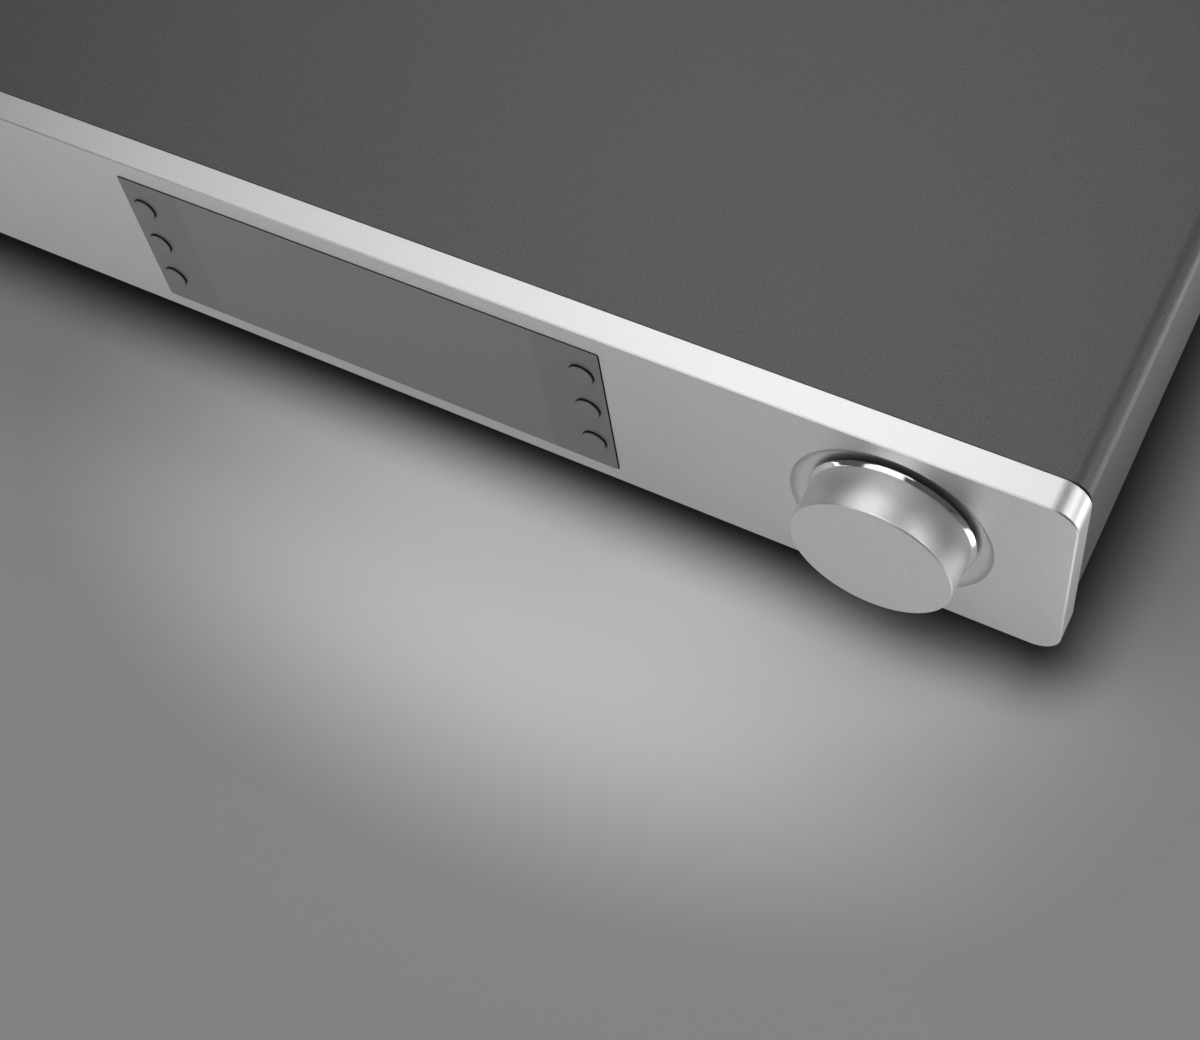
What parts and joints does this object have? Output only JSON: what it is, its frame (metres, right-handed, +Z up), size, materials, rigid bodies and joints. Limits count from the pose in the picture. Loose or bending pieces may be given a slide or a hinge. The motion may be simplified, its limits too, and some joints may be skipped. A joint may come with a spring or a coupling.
{
  "type": "network music streamer",
  "caption": "Full-width audio component: aluminium front with display window, round buttons and rotary knob; dark folded steel case on feet; sockets at the rear.",
  "frame": {"origin": "on the table, under the middle of the overall width and of the depth from knob face to aerial sockets", "axes": "+Z up, the front looks along -Y, +X to the right of someone who faces the front"},
  "size_m": [0.43, 0.305, 0.085],
  "materials": {
    "plate_aluminium": "fine bead-blasted, clear anodised",
    "knob_aluminium": "turned, bead-blasted and anodised",
    "polished_ring": "diamond-cut polished chamfer",
    "cover_paint": "fine-textured satin powder coat",
    "tray_paint": "satin powder coat",
    "rear_paint": "fine-textured black powder coat",
    "zinc_steel": "zinc plated",
    "lens_acrylic": "tinted satin acrylic",
    "display_glass": "dark display glass in a blackened frame",
    "black_plastic": "fine moulded grain",
    "rocker_plastic": "polished moulding",
    "foot_plastic": "fine moulded grain",
    "pad_rubber": "matt",
    "light_pipe": "clear moulding",
    "board_green": "solder resist",
    "capacitor_sleeve": "shrunk sleeve",
    "winding_tape": "polyester tape",
    "sink_aluminium": "extruded",
    "socket_nickel": "nickel plated",
    "socket_gold": "gold plated",
    "wire_insulation": "extruded insulation",
    "screw_steel": "black zinc"
  },
  "bodies": {
    "case": {"front_plate": "plate_aluminium", "front_frame": "zinc_steel", "base_tray": "tray_paint", "top_cover": "cover_paint", "rear_panel": "rear_paint", "display_lens": "lens_acrylic", "display_module": "display_glass", "display_carrier": "black_plastic", "front_board": "board_green", "tact_switches": "black_plastic", "remote_receiver": "black_plastic", "standby_light": "light_pipe", "standby_board": "board_green", "encoder_body": "black_plastic", "encoder_nut": "zinc_steel", "encoder_board": "board_green", "foot_front_left": "foot_plastic", "foot_front_right": "foot_plastic", "foot_rear_left": "foot_plastic", "foot_rear_right": "foot_plastic", "foot_pads": "pad_rubber", "main_board": "board_green", "board_standoffs": "zinc_steel", "network_module": "board_green", "board_chips": "black_plastic", "audio_capacitors": "capacitor_sleeve", "power_board": "board_green", "power_capacitors": "capacitor_sleeve", "power_transformers": "winding_tape", "power_heat_sink": "sink_aluminium", "mains_inlet": "black_plastic", "mains_switch_frame": "black_plastic", "network_socket": "socket_nickel", "data_sockets": "socket_nickel", "optical_sockets": "black_plastic", "phono_sockets": "black_plastic", "phono_shells": "socket_gold", "balanced_sockets": "black_plastic", "control_jacks": "black_plastic", "aerial_sockets": "socket_gold", "mains_wires": "wire_insulation", "ribbon_cables": "wire_insulation", "aerial_leads": "wire_insulation", "small_screws": "screw_steel", "plate_screws": "screw_steel", "foot_screws": "screw_steel"},
    "encoder_plunger": {"encoder_plunger": "black_plastic"},
    "knob": {"knob": "knob_aluminium", "knob_trim_ring": "polished_ring", "encoder_shaft": "zinc_steel"},
    "button_left_top": {"button_left_top": "lens_acrylic"},
    "button_left_middle": {"button_left_middle": "lens_acrylic"},
    "button_left_bottom": {"button_left_bottom": "lens_acrylic"},
    "button_right_top": {"button_right_top": "lens_acrylic"},
    "button_right_middle": {"button_right_middle": "lens_acrylic"},
    "button_right_bottom": {"button_right_bottom": "lens_acrylic"},
    "standby_button": {"standby_button": "knob_aluminium"},
    "mains_rocker": {"mains_rocker": "rocker_plastic"},
    "optical_shutter_in": {"optical_shutter_in": "black_plastic"},
    "optical_shutter_out": {"optical_shutter_out": "black_plastic"}
  },
  "joints": [
    {"name": "knob_press", "type": "slide", "parent": "case", "child": "encoder_plunger", "axis": [0, 1, 0], "range_m": [0, 0.0008], "stiffness_N_per_m": 2000, "springref_m": -0.0015},
    {"name": "knob_turn", "type": "hinge", "parent": "encoder_plunger", "child": "knob", "pos_m": [0.1661, -0.1393, 0.0511], "axis": [0, -1, 0], "continuous": true},
    {"name": "press_left_top", "type": "slide", "parent": "case", "child": "button_left_top", "axis": [0, 1, 0], "range_m": [0, 0.0005], "stiffness_N_per_m": 1000, "springref_m": -0.0015},
    {"name": "press_left_middle", "type": "slide", "parent": "case", "child": "button_left_middle", "axis": [0, 1, 0], "range_m": [0, 0.0005], "stiffness_N_per_m": 1000, "springref_m": -0.0015},
    {"name": "press_left_bottom", "type": "slide", "parent": "case", "child": "button_left_bottom", "axis": [0, 1, 0], "range_m": [0, 0.0005], "stiffness_N_per_m": 1000, "springref_m": -0.0015},
    {"name": "press_right_top", "type": "slide", "parent": "case", "child": "button_right_top", "axis": [0, 1, 0], "range_m": [0, 0.0005], "stiffness_N_per_m": 1000, "springref_m": -0.0015},
    {"name": "press_right_middle", "type": "slide", "parent": "case", "child": "button_right_middle", "axis": [0, 1, 0], "range_m": [0, 0.0005], "stiffness_N_per_m": 1000, "springref_m": -0.0015},
    {"name": "press_right_bottom", "type": "slide", "parent": "case", "child": "button_right_bottom", "axis": [0, 1, 0], "range_m": [0, 0.0005], "stiffness_N_per_m": 1000, "springref_m": -0.0015},
    {"name": "standby_press", "type": "slide", "parent": "case", "child": "standby_button", "axis": [0, 1, 0], "range_m": [0, 0.0005], "stiffness_N_per_m": 1000, "springref_m": -0.0015},
    {"name": "mains_switch_tilt", "type": "hinge", "parent": "case", "child": "mains_rocker", "pos_m": [-0.12793, 0.1383, 0.0485], "axis": [1, 0, 0], "range_deg": [0, 24]},
    {"name": "shutter_in_swing", "type": "hinge", "parent": "case", "child": "optical_shutter_in", "pos_m": [0.05396, 0.1392, 0.0361], "axis": [-1, 0, 0], "range_deg": [0, 80], "stiffness_Nm_per_rad": 0.0001, "springref_deg": -28.65},
    {"name": "shutter_out_swing", "type": "hinge", "parent": "case", "child": "optical_shutter_out", "pos_m": [0.07009, 0.1392, 0.0361], "axis": [-1, 0, 0], "range_deg": [0, 80], "stiffness_Nm_per_rad": 0.0001, "springref_deg": -28.65}
  ]
}
